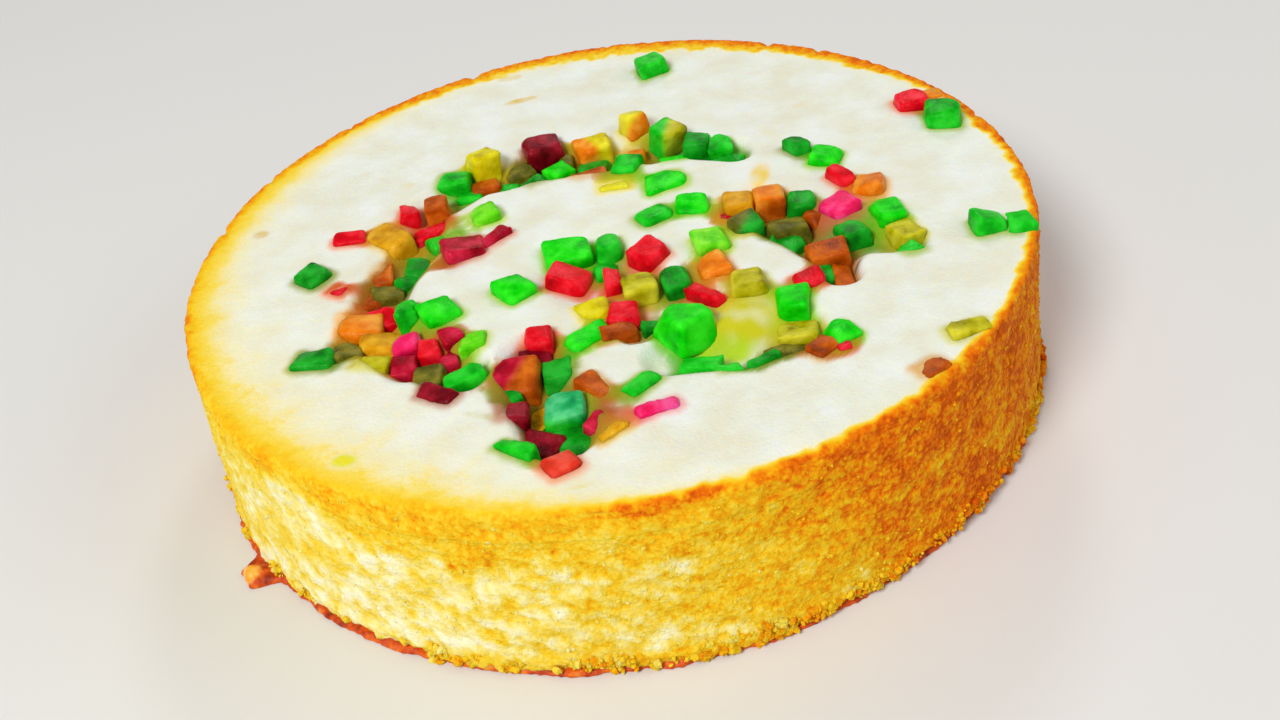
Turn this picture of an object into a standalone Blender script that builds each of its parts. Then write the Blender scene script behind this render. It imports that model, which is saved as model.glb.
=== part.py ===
# Round semolina cake with diced candied fruit sunk into its pale top.
# The origin is the centre of the base, +Z is up and -Y is the near side. Sizes here are in millimetres
# and become metres as each point is placed.

import math
import random

import bmesh
import bpy
from mathutils import Matrix, Vector

MM = 0.001
CAKE_HEIGHT = 38.0
TOP_RADIUS = 90.0
FOOT_RADIUS = 91.4
RIM_ROUNDING = 1.6
CRUST_RADIUS = 92.6
CRUST_THICKNESS = 1.5
FLAKE_ANGLE = 209.25
FLAKE_LENGTH = 5.5
DIE_HEIGHT = 6.5
DIE_BEVEL = 0.5
CUT_CORNERS = (0, 1, 1, 2)
CUT_SHARE = (0.25, 0.45)
FRUIT_GAP = 0.3
SECTORS = 80

# The batter sank in channels round a raised middle, and the fruit lies in them. Each channel runs from one
# point to the next: x, y, x, y, half width, depth.
CHANNELS = [
    (-38, 18, -27, 27, 7, 2.6),
    (-27, 27, -12, 29, 7, 3.6),
    (-12, 29, 6, 27.5, 7, 3.6),
    (6, 27.5, 20, 27, 6.5, 3.4),
    (20, 27, 32, 21, 5.5, 3),
    (-38, 18, -40, 2, 6.5, 2.4),
    (-40, 2, -46, -10, 7, 3.2),
    (-46, -10, -49, -25, 7.5, 3.6),
    (-49, -25, -40, -38, 8, 3.6),
    (-50, -28, -58, -31, 5.5, 2),
    (-40, -38, -31, -45, 7, 3.2),
    (-18, -45, -16, -58, 8, 3.8),
    (-16, -58, -14, -68, 8, 5.6),
    (8, -51, 20, -53, 6.5, 3.0),
    (20, -53, 33, -50, 7, 3.2),
    (32, -4, 38, -14, 8, 3.4),
    (38, -14, 44.5, -26, 7.5, 3.6),
    (44.5, -26, 44, -34, 5, 4.4),
    (50, -24, 59, -26, 5.5, 3.4),
    (-6, -16, 8, -36, 13, 1.8),
]

# Fruit that stands clear of the batter, one piece each: x, y, height of its top over the rim, wide, deep, turn.
WHOLE_FRUIT = {
    "bright_green": [
        (-8, -10.2, 1.5, 9.3, 6.8, -3),
        (-35.3, -24.5, 2, 7, 7.5, 20),
        (15, 12, 1.5, 9, 8.5, 10),
        (12, -44, 4, 8.8, 8.5, 32),
        (33, -41.5, 2.2, 7, 7.5, -12),
        (57.5, -15.5, 1.8, 6.5, 7.5, 5),
        (19.4, -0.8, 2, 6.3, 6.5, -10),
        (-20, -21, 2, 6.5, 7, 35),
        (50.5, 10, 2, 6.3, 6.5, -25),
        (39.3, -53.8, 1.5, 5.2, 5.5, 20),
    ],
    "lime": [
        (-25, 10.5, 2, 6.8, 7, 15),
        (21, -16, 2.2, 7, 7.5, 5),
    ],
    "green": [
        (0.2, -11, 1.8, 4.8, 7.5, 0),
        (11.2, -2, 1.6, 7.3, 5.5, 25),
        (-41.4, -23, 2, 4.5, 6, 10),
        (-31.5, 29.5, 0.4, 7, 6, -15),
        (7.5, 21.5, 1.5, 6.5, 6, -20),
        (19, 68.5, 3.5, 6.8, 7, 15),
        (78.8, 17.5, 3.5, 7.8, 7, -15),
        (74.8, -27.3, 2.5, 6, 6, 0),
        (80.8, -29.6, 2, 5.9, 5.8, 0),
        (1.6, -58.3, 0.8, 7.6, 4.3, 40),
        (-12.3, -61, 1, 6.5, 7, -10),
    ],
    "dark_green": [
        (-62, -2.8, 2, 6.8, 6.8, 45),
        (12.2, -28, 2, 6, 7.5, 5),
        (45.2, 15.5, 2.5, 4.2, 5.5, 25),
        (41.8, -6, 1.6, 5.6, 6, -5),
        (-59.8, -33.3, 1, 7.5, 6.3, -15),
        (49.6, -19.3, 0, 6.6, 6.3, 10),
        (17.8, 31.5, 4, 6.8, 6.5, 35),
    ],
    "olive": [
        (29.3, -11, 1.8, 6.5, 6, 25),
        (25.6, -33.3, 2.2, 6.8, 7.2, -5),
        (4.9, -28, 2, 6.1, 6.5, 3),
    ],
    "yellow": [
        (-25, 34, 3.5, 7, 6.8, 30),
        (0.7, 33.5, 1.8, 8, 7, 0),
        (11, 38.5, 4.5, 5.5, 6, 25),
    ],
    "amber": [
        (-46.2, 8.5, 1, 6.8, 11, 35),
        (28.6, -2.5, 2, 6.3, 7.5, 0),
    ],
    "orange": [
        (56.4, -4.8, 1.6, 7.2, 7.5, -20),
        (-51.8, -22, -0.5, 9, 7.5, -5),
        (20.2, -25.5, 1.8, 6.6, 7, 10),
    ],
    "rust": [
        (35.4, -2.5, 2, 6.3, 7.5, 5),
        (43.4, -26.3, 1, 8, 5.6, 0),
        (-20.3, -48.8, 0.5, 8.3, 8.5, -10),
        (-6.6, -57, 0.9, 4.8, 8.6, 32),
    ],
    "red": [
        (-55.2, 10.2, 1.4, 7.2, 4.3, -5),
        (7.8, -17, 2, 6.6, 6.6, 40),
        (-8.8, -19.8, 1.5, 7.8, 7, -25),
        (37.2, -35, 1.6, 5.5, 5.3, 15),
        (74.4, 27.5, 3, 6.6, 6.5, 0),
        (0.6, -35.8, 1.5, 5.6, 6.5, -10),
        (-15.8, -39.3, 1.5, 5, 5.6, 0),
        (-14.2, -76.5, 1.1, 6, 4.8, 30),
    ],
    "crimson": [
        (-30, -2.5, 1.6, 8.5, 8, 10),
        (-41.6, -32, 0.5, 5.3, 5.2, 0),
    ],
    "maroon": [
        (-11, 36, 2.7, 8.3, 7, 10),
        (-22.5, -58.6, -0.5, 5.8, 6, 0),
    ],
    "pink": [
        (49, -11.3, 2, 6.6, 6.8, 30),
    ],
}

# Smaller and half sunk fruit that is baked in: same measures.
SUNK_FRUIT = {
    "bright_green": [
        (-8, 28, -0.5, 6, 5.5, 40),
        (18.5, 22.8, -0.5, 6, 4.5, 0),
        (-6.8, -41.5, 1, 9.5, 4.5, 30),
    ],
    "lime": [
        (-28.8, -36.3, 0.8, 4.5, 5, 0),
    ],
    "green": [
        (-29, 24, -1.5, 5, 4, 0),
        (-20, 26, -2, 4, 4, 0),
        (-34, 5.5, -0.5, 6.5, 5.5, 25),
        (-30.3, -46.2, 0.5, 8, 4.5, 12),
        (-21.5, -71, 1.3, 8, 3, -40),
        (13, -54.5, -0.5, 7.5, 4.5, -25),
        (18, -57, -0.5, 4, 2.5, 10),
        (58.8, -29.5, 0, 4, 4.5, 20),
        (-1, -18, -0.5, 5, 5, 0),
        (28.8, 24.5, 1, 6, 5.5, 10),
    ],
    "dark_green": [
        (-13.5, 24, -1, 5.5, 5, 30),
        (0.5, 28.5, -1.5, 7, 4.5, -10),
        (24, 25.5, 2, 5.5, 6, -20),
        (30, 21.5, -1.5, 8, 3, -25),
        (-40.5, -2, -1, 5, 6, 0),
        (-42.5, -7, -2, 5.5, 4, 10),
        (-37.4, -42.2, -0.5, 6, 5, -10),
        (41.2, -30.8, -1, 2.8, 5.6, 0),
        (-23, -53.2, -0.5, 5, 4, 30),
        (-12, -65.5, -2, 9.5, 6, 0),
        (-10.5, -69, -2.5, 7, 5, 0),
        (36.3, -18.5, -1, 7, 5, -40),
        (5.5, -40, -0.5, 4, 3, 0),
        (25, -57, 0.2, 6, 2.5, 20),
        (-13, -48.8, 0, 5.5, 6, 0),
    ],
    "olive": [
        (-48.2, -37, 0, 6, 4.5, -20),
        (-54, -30.5, -0.5, 6, 6, 0),
        (-47, -10, -2, 6, 6, 0),
        (59.5, -23.5, 0.5, 5.5, 7, 15),
        (32.5, -49.5, 0, 8, 6, -10),
        (29, -54, -1, 9, 4, 20),
        (61.4, -59.4, 1, 7.6, 4, 8),
        (-5.5, 32, -1, 3, 5, 0),
        (-17, 31, -1, 6.5, 6, 20),
        (37.5, -14.3, 0, 7.6, 6.2, 10),
    ],
    "yellow": [
        (4, 14.5, 0.4, 7, 5.5, 0),
        (-5, -32.5, 0.5, 6, 5.5, 0),
    ],
    "amber": [
        (-47, -28.5, -1, 8.5, 7.5, -20),
        (-4.5, -70.3, 0.8, 6, 2, 35),
        (-36.5, -2, -1.5, 3.5, 5, 0),
    ],
    "orange": [
        (10, 29, -0.5, 4, 4, 0),
        (79.5, 30.6, 1, 4, 4, 0),
    ],
    "rust": [
        (-35.7, 17.5, 2.3, 4.8, 6, 0),
        (-25, 27, -1, 6, 5.5, 10),
        (-52, -11, -2, 7.5, 7.5, 10),
        (-48, -3.5, -1, 4.5, 6, 0),
        (-35, -4, -0.6, 3, 6, 0),
        (44.3, -33, -1.5, 3.5, 8, 0),
        (-1, -41.2, 0.6, 7, 4.5, 10),
        (35.3, -57, 0.9, 5.5, 4.3, 35),
        (52.5, -68.3, 0.8, 5.5, 4, 30),
        (43, -11, 0, 4, 4, 40),
        (-1.6, 22.3, -0.5, 8, 5.5, 10),
    ],
    "red": [
        (-42.5, 17.3, 1.2, 4, 5.5, 10),
        (-37.2, 10.8, -1, 7.5, 5, 20),
        (-56.5, -9.5, 0.4, 4, 4, -40),
        (51.6, 0.5, 2, 3.8, 5.8, 35),
        (-47, -19, -1, 6, 5.5, 0),
        (-37.2, -34.8, 0, 4.2, 5, 0),
        (-0.3, -23, 1, 3.2, 6.3, 0),
        (17.6, -35, 1.5, 3, 8.5, 38),
        (39, -57.5, 0.7, 2.5, 2, 0),
        (25.5, -6.5, 0.3, 3, 3, 0),
    ],
    "crimson": [
        (-23, 0, 1, 8, 3, 40),
        (-42, -37.8, -0.5, 5, 5, 0),
        (-32.9, -32.8, 1, 4, 5, 20),
        (-33, -38.5, -0.5, 4, 4, 0),
        (-7, -65.5, 0, 5, 3, 45),
    ],
    "maroon": [
        (-17, -43, -0.5, 6, 4, 0),
        (-35, -51, 1, 8.3, 3.5, -35),
        (-17.5, -67, -2.5, 7, 6, -30),
    ],
    "pink": [
        (3.5, -65.8, 0.9, 8, 2.5, 15),
    ],
}

FRUIT_COLOURS = {
    "bright_green": (0.03, 0.55, 0.03),
    "lime": (0.14, 0.58, 0.02),
    "green": (0.02, 0.33, 0.05),
    "dark_green": (0.01, 0.14, 0.03),
    "olive": (0.24, 0.22, 0.02),
    "yellow": (0.66, 0.50, 0.03),
    "amber": (0.60, 0.30, 0.02),
    "orange": (0.75, 0.22, 0.02),
    "rust": (0.42, 0.09, 0.01),
    "red": (0.62, 0.02, 0.02),
    "crimson": (0.45, 0.01, 0.04),
    "maroon": (0.14, 0.005, 0.02),
    "pink": (0.72, 0.03, 0.18),
}


def clear_scene():
    for obj in list(bpy.data.objects):
        bpy.data.objects.remove(obj, do_unlink=True)


def make_collection(name, hidden=False):
    collection = bpy.data.collections.new(name)
    collection.hide_render = hidden
    bpy.context.scene.collection.children.link(collection)
    return collection


def make_material(name, colour, roughness):
    material = bpy.data.materials.new(name)
    material.use_nodes = True
    surface = material.node_tree.nodes["Principled BSDF"]
    surface.inputs["Base Color"].default_value = (*colour, 1.0)
    surface.inputs["Roughness"].default_value = roughness
    material.diffuse_color = (*colour, 1.0)
    return material


def make_object(name, shape, collection, material=None):
    bmesh.ops.recalc_face_normals(shape, faces=shape.faces[:])
    mesh = bpy.data.meshes.new(name)
    shape.to_mesh(mesh)
    shape.free()
    obj = bpy.data.objects.new(name, mesh)
    if material is not None:
        mesh.materials.append(material)
    collection.objects.link(obj)
    return obj


def smoothstep(low, high, value):
    t = min(max((value - low) / (high - low), 0.0), 1.0)
    return t * t * (3.0 - 2.0 * t)


def channel_depth(x, y, channel):
    """How far one channel sinks the top here; its far bank runs up more gently than its near one."""
    x1, y1, x2, y2, half_width, depth = channel
    along_x, along_y = x2 - x1, y2 - y1
    share = ((x - x1) * along_x + (y - y1) * along_y) / (along_x**2 + along_y**2)
    share = min(max(share, 0.0), 1.0)
    off_x = x - x1 - share * along_x
    off_y = y - y1 - share * along_y
    if off_y > 0.0:
        off_y /= 1.35
    return depth * (1.0 - smoothstep(0.3, 1.0, math.hypot(off_x, off_y) / half_width))


def top_height(x, y):
    """Height of the cake's top here: nearly level, with the sunk channels and slow waves in the batter."""
    sunk = sum(channel_depth(x, y, channel) ** 4 for channel in CHANNELS) ** 0.25
    waves = 0.12 * math.sin(0.09 * x + 0.05 * y) + 0.1 * math.sin(0.13 * y - 0.06 * x + 1.0)
    fade = 1.0 - smoothstep(70.0, 86.0, math.hypot(x, y))
    return CAKE_HEIGHT + waves * fade - sunk


def wall_wobble(angle, height):
    """How far the torn side wall stands in from the true cone."""
    slow = math.sin(5.0 * angle + 0.11 * height) + math.sin(11.0 * angle - 0.2 * height + 2.0)
    quick = math.sin(23.0 * angle + 0.5 * height) * math.sin(17.0 * angle - 0.3 * height)
    return 0.2 * (slow + 2.0) + 0.4 * quick * quick


def crust_radius(angle):
    """Ragged outline of the base crust, full out on the four main directions."""
    notch = 0.5 * abs(math.sin(7.0 * angle)) + 0.45 * abs(math.sin(16.0 * angle))
    off_axis = smoothstep(0.0, 0.12, abs(math.sin(2.0 * angle)))
    radius = CRUST_RADIUS - notch * off_axis
    gap = abs((math.degrees(angle) - FLAKE_ANGLE + 180.0) % 360.0 - 180.0)
    return radius + FLAKE_LENGTH * (1.0 - smoothstep(2.5, 6.0, gap))


def cake_profile():
    """Rows of the turned cake from the middle of the top out and down: kind, radius, height."""
    rows = [("top", r) for r in (6, 12, 17.5, 23, 27.5, 32, 36.5, 41, 45.5, 50, 54.5, 59, 64, 69, 75, 82)]
    rim_steps = 3
    for step in range(rim_steps + 1):
        turn = 0.5 * math.pi * step / rim_steps
        inset = RIM_ROUNDING * (1.0 - math.sin(turn))
        drop = RIM_ROUNDING * (1.0 - math.cos(turn))
        rows.append(("rim", TOP_RADIUS - inset, CAKE_HEIGHT - drop))
    for height in (27.0, 18.0, 9.0, CRUST_THICKNESS + 0.4):
        lean = (FOOT_RADIUS - TOP_RADIUS) * (1.0 - height / CAKE_HEIGHT)
        rows.append(("wall", TOP_RADIUS + lean, height))
    rows.append(("crust", 0.0, CRUST_THICKNESS))
    rows.append(("crust", 0.0, 0.0))
    return rows


def row_point(row, angle):
    kind, radius = row[0], row[1]
    if kind == "top":
        height = top_height(radius * math.cos(angle), radius * math.sin(angle))
    else:
        height = row[2]
    if kind == "wall":
        radius -= wall_wobble(angle, height)
    if kind == "crust":
        radius = crust_radius(angle)
    return Vector((radius * math.cos(angle), radius * math.sin(angle), height)) * MM


def build_cake(collection, material):
    """A spun grid of rows, each moved to its own height and radius, closed by a flat base."""
    shape = bmesh.new()
    start = [shape.verts.new((0.0, 0.0, top_height(0.0, 0.0) * MM))]
    rows = cake_profile()
    rings = []
    for row in rows:
        ring = [shape.verts.new(row_point(row, 2.0 * math.pi * i / SECTORS)) for i in range(SECTORS)]
        rings.append(ring)
    for i in range(SECTORS):
        shape.faces.new((start[0], rings[0][i], rings[0][(i + 1) % SECTORS]))
    for inner, outer in zip(rings, rings[1:]):
        for i in range(SECTORS):
            j = (i + 1) % SECTORS
            shape.faces.new((inner[i], outer[i], outer[j], inner[j]))
    shape.faces.new(list(reversed(rings[-1])))
    return make_object("cake", shape, collection, material)


def die_shape(piece, grow):
    """One die of fruit: a cube with uneven and cut corners, set at its place; grow widens it on every side."""
    x, y, top, wide, deep, turn = piece
    draw = random.Random(f"{x} {y} {turn}")
    trim = random.Random(f"trim {x} {y} {turn}")
    shape = bmesh.new()
    bmesh.ops.create_cube(shape, size=1.0)
    size = Vector((wide, deep, DIE_HEIGHT))
    for vert in shape.verts:
        uneven = Vector([draw.uniform(-0.12, 0.12) * min(wide, deep) for axis in range(3)])
        corner = Vector([2.0 * value for value in vert.co])
        vert.co = Vector([c * (0.5 * s + grow) for c, s in zip(corner, size)]) + uneven
    upper = [vert for vert in shape.verts if vert.co.z > 0.0]
    cut_off = trim.sample(upper, trim.choice(CUT_CORNERS))
    depth = trim.uniform(*CUT_SHARE) * min(wide, deep)
    bmesh.ops.bevel(shape, geom=cut_off, offset=depth, segments=1, affect="VERTICES", profile=0.5)
    bmesh.ops.delete(shape, geom=shape.edges[:] + shape.faces[:], context="EDGES_FACES")
    bmesh.ops.convex_hull(shape, input=shape.verts[:])
    lean = Matrix.Rotation(math.radians(draw.uniform(-9, 9)), 4, "X")
    lean = lean @ Matrix.Rotation(math.radians(draw.uniform(-9, 9)), 4, "Y")
    place = Matrix.Translation(Vector((x, y, CAKE_HEIGHT + top - 0.5 * DIE_HEIGHT)))
    turned = place @ Matrix.Rotation(math.radians(turn), 4, "Z") @ lean
    bmesh.ops.transform(shape, matrix=Matrix.Scale(MM, 4) @ turned, verts=shape.verts[:])
    return shape


def apply_modifiers(obj):
    graph = bpy.context.evaluated_depsgraph_get()
    mesh = bpy.data.meshes.new_from_object(obj.evaluated_get(graph))
    old = obj.data
    obj.modifiers.clear()
    obj.data = mesh
    mesh.name = obj.name
    bpy.data.meshes.remove(old)


def join_or_cut(obj, operation, collection):
    boolean = obj.modifiers.new(operation.lower(), "BOOLEAN")
    boolean.operation = operation
    boolean.operand_type = "COLLECTION"
    boolean.collection = collection
    boolean.solver = "MANIFOLD"
    apply_modifiers(obj)


def keep_largest(obj):
    """Drops loose scraps, so that the object is one closed body."""
    shape = bmesh.new()
    shape.from_mesh(obj.data)
    left = set(shape.verts)
    bodies = []
    while left:
        body = {left.pop()}
        edge = list(body)
        while edge:
            vert = edge.pop()
            for link in vert.link_edges:
                other = link.other_vert(vert)
                if other in left:
                    left.remove(other)
                    body.add(other)
                    edge.append(other)
        bodies.append(body)
    bodies.sort(key=len, reverse=True)
    for body in bodies[1:]:
        bmesh.ops.delete(shape, geom=list(body), context="VERTS")
    shape.to_mesh(obj.data)
    shape.free()


def empty_out(collection):
    for obj in list(collection.objects):
        bpy.data.objects.remove(obj, do_unlink=True)
    bpy.data.collections.remove(collection)


def build_fruit(collection, materials):
    """The whole fruit, each cut clear of the ones before it, and the sockets that it stands in."""
    sockets = make_collection("sockets", hidden=True)
    nodes = []
    for colour, pieces in WHOLE_FRUIT.items():
        for number, piece in enumerate(pieces, 1):
            name = f"fruit_{colour}_{number:02d}"
            obj = make_object(name, die_shape(piece, 0.0), collection, materials[colour])
            bevel = obj.modifiers.new("soft edges", "BEVEL")
            bevel.width = DIE_BEVEL * MM
            bevel.segments = 1
            bevel.limit_method = "ANGLE"
            bevel.angle_limit = math.radians(35.0)
            apply_modifiers(obj)
            if nodes:
                join_or_cut(obj, "DIFFERENCE", sockets)
                keep_largest(obj)
            socket = make_object(f"socket {name}", die_shape(piece, FRUIT_GAP), sockets)
            socket.hide_render = True
            socket.display_type = "WIRE"
            nodes.append(obj)
    return sockets


def main():
    clear_scene()
    collection = make_collection("semolina cake")
    crumb = make_material("semolina crumb", (0.84, 0.74, 0.45), 0.75)
    materials = {name: make_material(f"candied {name}", colour, 0.3) for name, colour in FRUIT_COLOURS.items()}

    cake = build_cake(collection, crumb)
    baked_in = make_collection("baked in", hidden=True)
    for colour, pieces in SUNK_FRUIT.items():
        for number, piece in enumerate(pieces, 1):
            make_object(f"sunk {colour} {number}", die_shape(piece, 0.0), baked_in, crumb)
    join_or_cut(cake, "UNION", baked_in)
    empty_out(baked_in)

    sockets = build_fruit(collection, materials)
    join_or_cut(cake, "DIFFERENCE", sockets)
    keep_largest(cake)
    empty_out(sockets)


main()
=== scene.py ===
# A round semolina cake with candied fruit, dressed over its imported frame.
# Sizes are in millimetres in the cake's own frame, with the origin at the centre of the base and +Z up,
# and become metres as each mesh is made.

import math
import random

import bmesh
import bpy
import numpy as np
from mathutils import Matrix, Vector, noise
from mathutils.bvhtree import BVHTree


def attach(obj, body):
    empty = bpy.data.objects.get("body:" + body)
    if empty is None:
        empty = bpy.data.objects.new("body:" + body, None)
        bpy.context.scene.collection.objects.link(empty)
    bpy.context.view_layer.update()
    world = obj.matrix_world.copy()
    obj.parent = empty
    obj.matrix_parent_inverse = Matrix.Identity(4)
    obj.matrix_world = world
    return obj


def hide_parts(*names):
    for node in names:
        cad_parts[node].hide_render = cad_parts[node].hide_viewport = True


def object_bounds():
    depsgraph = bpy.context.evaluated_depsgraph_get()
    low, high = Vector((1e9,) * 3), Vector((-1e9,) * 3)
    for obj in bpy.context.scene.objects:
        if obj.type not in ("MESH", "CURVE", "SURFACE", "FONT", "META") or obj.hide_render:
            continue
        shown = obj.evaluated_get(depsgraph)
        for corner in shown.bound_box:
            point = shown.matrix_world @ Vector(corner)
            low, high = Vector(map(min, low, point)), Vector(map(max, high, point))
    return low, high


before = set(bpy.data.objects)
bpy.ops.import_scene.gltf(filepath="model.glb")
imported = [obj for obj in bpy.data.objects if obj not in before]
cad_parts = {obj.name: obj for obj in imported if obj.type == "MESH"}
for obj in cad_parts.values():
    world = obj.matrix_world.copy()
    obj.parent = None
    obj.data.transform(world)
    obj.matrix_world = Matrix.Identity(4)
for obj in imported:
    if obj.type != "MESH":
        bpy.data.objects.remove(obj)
cad_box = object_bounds()
scene = bpy.context.scene


# Viewpoint.
# The cake is seen from the near side and above, by a camera held a little askew. Its distance, height and
# roll come from the ellipses that the rim and the foot make in the photograph.

MM = 0.001
VIEW_DISTANCE = 321.3
VIEW_ELEVATION = 36.653
VIEW_ROLL = 9.992
VIEW_PAN = math.degrees(0.009)
VIEW_TILT = math.degrees(0.002)
FOCAL_PIXELS = 1400.0
FRAME_WIDTH = 1280

camera_data = bpy.data.cameras.new("viewpoint")
camera_data.sensor_width = 36.0
camera_data.lens = FOCAL_PIXELS * camera_data.sensor_width / FRAME_WIDTH
camera_data.clip_start = 0.01
camera = bpy.data.objects.new("viewpoint", camera_data)
scene.collection.objects.link(camera)
elevation = math.radians(VIEW_ELEVATION)
stand = Vector((0.0, -math.cos(elevation), math.sin(elevation))) * VIEW_DISTANCE * MM
turns = Matrix.Rotation(math.radians(90.0) - elevation, 4, "X")
turns = turns @ Matrix.Rotation(math.radians(-VIEW_ROLL), 4, "Z")
turns = turns @ Matrix.Rotation(math.radians(-VIEW_PAN), 4, "Y")
turns = turns @ Matrix.Rotation(math.radians(VIEW_TILT), 4, "X")
camera.matrix_world = Matrix.Translation(stand) @ turns
scene.camera = camera


# Floor and studio light.
# A plain pale floor under one large soft lamp from the left and in front, with weak ones from the right and
# from behind, so that the right side of the wall falls into a soft shade as in the photograph.


def linear(hex_colour):
    """An sRGB hex colour as linear red, green, blue and alpha."""
    parts = [int(hex_colour[i : i + 2], 16) / 255.0 for i in (1, 3, 5)]
    return (*[c / 12.92 if c <= 0.04045 else ((c + 0.055) / 1.055) ** 2.4 for c in parts], 1.0)


def new_material(name, finish):
    """A new material with this finish, its node tree and its surface shader."""
    material = bpy.data.materials.new(name)
    material.use_nodes = True
    surface = material.node_tree.nodes["Principled BSDF"]
    for socket, value in finish.items():
        surface.inputs[socket].default_value = value
    return material, material.node_tree, surface


def add_node(tree, kind, fields=None, inputs=None):
    """Adds a node, sets its fields and colour stops, and sets or links its inputs."""
    made = tree.nodes.new(kind)
    for name, value in (fields or {}).items():
        if name == "stops":
            ramp = made.color_ramp
            while len(ramp.elements) < len(value):
                ramp.elements.new(0.5)
            for stop, (place, colour) in zip(ramp.elements, value):
                stop.position = place
                stop.color = linear(colour)
        else:
            setattr(made, name, value)
    for name, value in (inputs or {}).items():
        if isinstance(value, bpy.types.NodeSocket):
            tree.links.new(value, made.inputs[name])
        else:
            made.inputs[name].default_value = value
    return made


def per_mm(size):
    """Texture scale that makes one feature of a pattern this many millimetres wide."""
    return 1.0 / (size * MM)


FLOOR_SIZE = 6.0
STUDIO_GLOW = 0.34

floor_mesh = bpy.data.meshes.new("floor")
half = 0.5 * FLOOR_SIZE
corners = [(-half, -half, 0), (half, -half, 0), (half, half, 0), (-half, half, 0)]
floor_mesh.from_pydata(corners, [], [(0, 1, 2, 3)])
floor = bpy.data.objects.new("floor", floor_mesh)
scene.collection.objects.link(floor)

# Matt painted board: an even pale grey that only takes the soft shadow.
board = new_material("matt painted board", {"Base Color": linear("#DEDDD9"), "Roughness": 0.9})[0]
floor_mesh.materials.append(board)

# Each lamp: place, width, watts.
LAMPS = {
    "key lamp": ((-600, -860, 1080), 520, 16.5),
    "fill lamp": ((900, -260, 700), 700, 2.5),
    "back lamp": ((160, 900, 760), 260, 2.4),
}
for name, (place, size, power) in LAMPS.items():
    lamp = bpy.data.lights.new(name, "AREA")
    lamp.shape = "DISK"
    lamp.size = size * MM
    lamp.energy = power
    holder = bpy.data.objects.new(name, lamp)
    holder.location = Vector(place) * MM
    holder.rotation_euler = (-holder.location).to_track_quat("-Z", "Y").to_euler()
    scene.collection.objects.link(holder)

world = bpy.data.worlds.new("studio")
world.use_nodes = True
glow = world.node_tree.nodes["Background"]
glow.inputs["Color"].default_value = linear("#F6F6F6")
glow.inputs["Strength"].default_value = STUDIO_GLOW
scene.world = world
scene.view_settings.view_transform = "Standard"


# Whole dice of candied fruit.
# Papaya or melon rind boiled in syrup, dyed and cut into dice. The drained syrup leaves them glossy and
# see-through at the edges. The knife leaves flat faces, and baking softens their corners.

# How finely the skin of a die is meshed and how far it swells, and how large its cloudy spots and the grains
# of its sugar are.
DIE_SKIN = 0.46
DIE_SWELL = 0.1
CLOUD_SIZE = 4.0
SUGAR_SIZE = 0.45

# Dents in a die's faces: how wide and how deep.
DIE_DENTS = ((5.0, 0.35), (1.2, 0.07), (0.7, 0.05))

# Each dye: what the die looks like where it is thick, in general, and where light comes through, and the
# halo that it leaves in the batter.
DYES = {
    "bright_green": ("#029C06", "#08D004", "#36EA22", "#A8CC24"),
    "lime": ("#3CA604", "#62D60C", "#94EC38", "#C4D636"),
    "green": ("#047410", "#0AB814", "#2ED430", "#A0B82A"),
    "dark_green": ("#025A0A", "#089012", "#22B22E", "#98A02E"),
    "teal_highlight": ("#0A7444", "#22AC60", "#62D08C", "#98B04E"),
    "dark_olive": ("#33340A", "#626014", "#8C8228", "#A89A3E"),
    "olive": ("#6E6600", "#B4AC06", "#D4CC34", "#D2CC48"),
    "yellow": ("#AC8C00", "#DACC04", "#ECE030", "#F0DC5A"),
    "amber": ("#A86808", "#D69808", "#EEBA2C", "#EAC450"),
    "orange": ("#CC5C04", "#E87E08", "#F8A638", "#F4B458"),
    "rust": ("#803002", "#B44E04", "#D67218", "#DCA44C"),
    "red": ("#A2000C", "#DC0418", "#F42C3C", "#F0946C"),
    "coral": ("#B02410", "#DE3C26", "#F06450", "#F0A47C"),
    "crimson": ("#700010", "#AC0622", "#D4264A", "#E48C78"),
    "maroon": ("#2C0006", "#740412", "#9C1628", "#B8785C"),
    "pink": ("#CC0A48", "#F41E66", "#FC5A9A", "#F29AA0"),
}

# Dyes that show only as the second one on a die; the teal one is a painted highlight.
SECOND_DYES = ("teal_highlight", "coral")

# Dice that show two dyes: the two, and the way from the die's middle in which the second one lies. The teal
# on top of fruit_green_11 and the pink on top of fruit_crimson_02 are painted highlights, not dye.
TWO_TONED = {
    "fruit_yellow_02": ("yellow", "orange", (-0.9, -0.4, 0.0)),
    "fruit_yellow_03": ("yellow", "orange", (0.7, -0.6, -0.4)),
    "fruit_dark_green_07": ("green", "olive", (0.9, -0.3, 0.0)),
    "fruit_olive_01": ("dark_olive", "dark_green", (0.7, -0.5, 0.0)),
    "fruit_rust_03": ("rust", "crimson", (-0.8, 0.5, 0.2)),
    "fruit_rust_01": ("orange", "rust", (0.3, -0.6, -0.6)),
    # Painted highlight: the pink on the top of this die stands for its sparkle.
    "fruit_crimson_02": ("crimson", "pink", (-0.4, 0.5, 0.8)),
    # Painted highlight: the teal on the top of this die stands for a reflection of the sky.
    "fruit_green_11": ("green", "teal_highlight", (0.1, 0.4, 0.9)),
    "fruit_red_08": ("red", "coral", (0.4, 0.2, 0.8)),
}


def noise_at(points, wavelength, seed):
    """Smooth noise from about -1 to 1 at each point, with swells this many millimetres long."""
    shifted = points / wavelength + np.array([17.3, 41.7, 29.1]) * seed
    return np.array([noise.noise(p) for p in shifted.tolist()])


def read_points(mesh):
    points = np.empty(len(mesh.vertices) * 3)
    mesh.vertices.foreach_get("co", points)
    return points.reshape(-1, 3) / MM


def write_points(mesh, points):
    mesh.vertices.foreach_set("co", (points * MM).ravel())
    mesh.update()


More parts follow.
